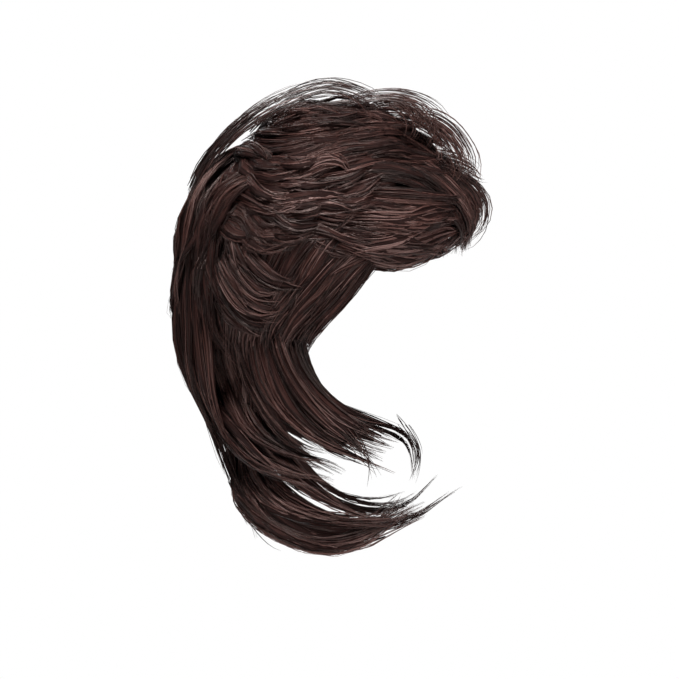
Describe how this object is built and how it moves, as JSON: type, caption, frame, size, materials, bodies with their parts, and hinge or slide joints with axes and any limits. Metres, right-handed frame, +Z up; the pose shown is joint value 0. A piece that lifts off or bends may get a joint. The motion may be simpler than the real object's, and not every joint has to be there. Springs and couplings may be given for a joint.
{
  "type": "mullet wig",
  "caption": "Layered dark brown mullet wig: a stretch cap under a full crown and fringe, with long tails swept forward round the neck.",
  "frame": {"origin": "inside of the cap at the crown, where the wearer's head bears against it", "axes": "+Z up, +X towards the wearer's face, +Y towards the wearer's left"},
  "size_m": [0.2596, 0.2106, 0.3925],
  "materials": {
    "hair": "dark brown synthetic hair with auburn tints and a satin sheen",
    "cap": "matte dark stretch net with sewn strips"
  },
  "bodies": {
    "root": {"cap": "cap", "nape_tail_centre": "hair", "nape_tail_right": "hair", "nape_tail_left": "hair", "back_layer_centre": "hair", "back_layer_right": "hair", "back_layer_left": "hair", "side_layer_right": "hair", "side_layer_left": "hair", "crown_back": "hair", "crown_right": "hair", "crown_left": "hair", "fringe_right": "hair", "fringe_left": "hair", "fringe_centre": "hair", "crown_top": "hair"}
  },
  "joints": []
}
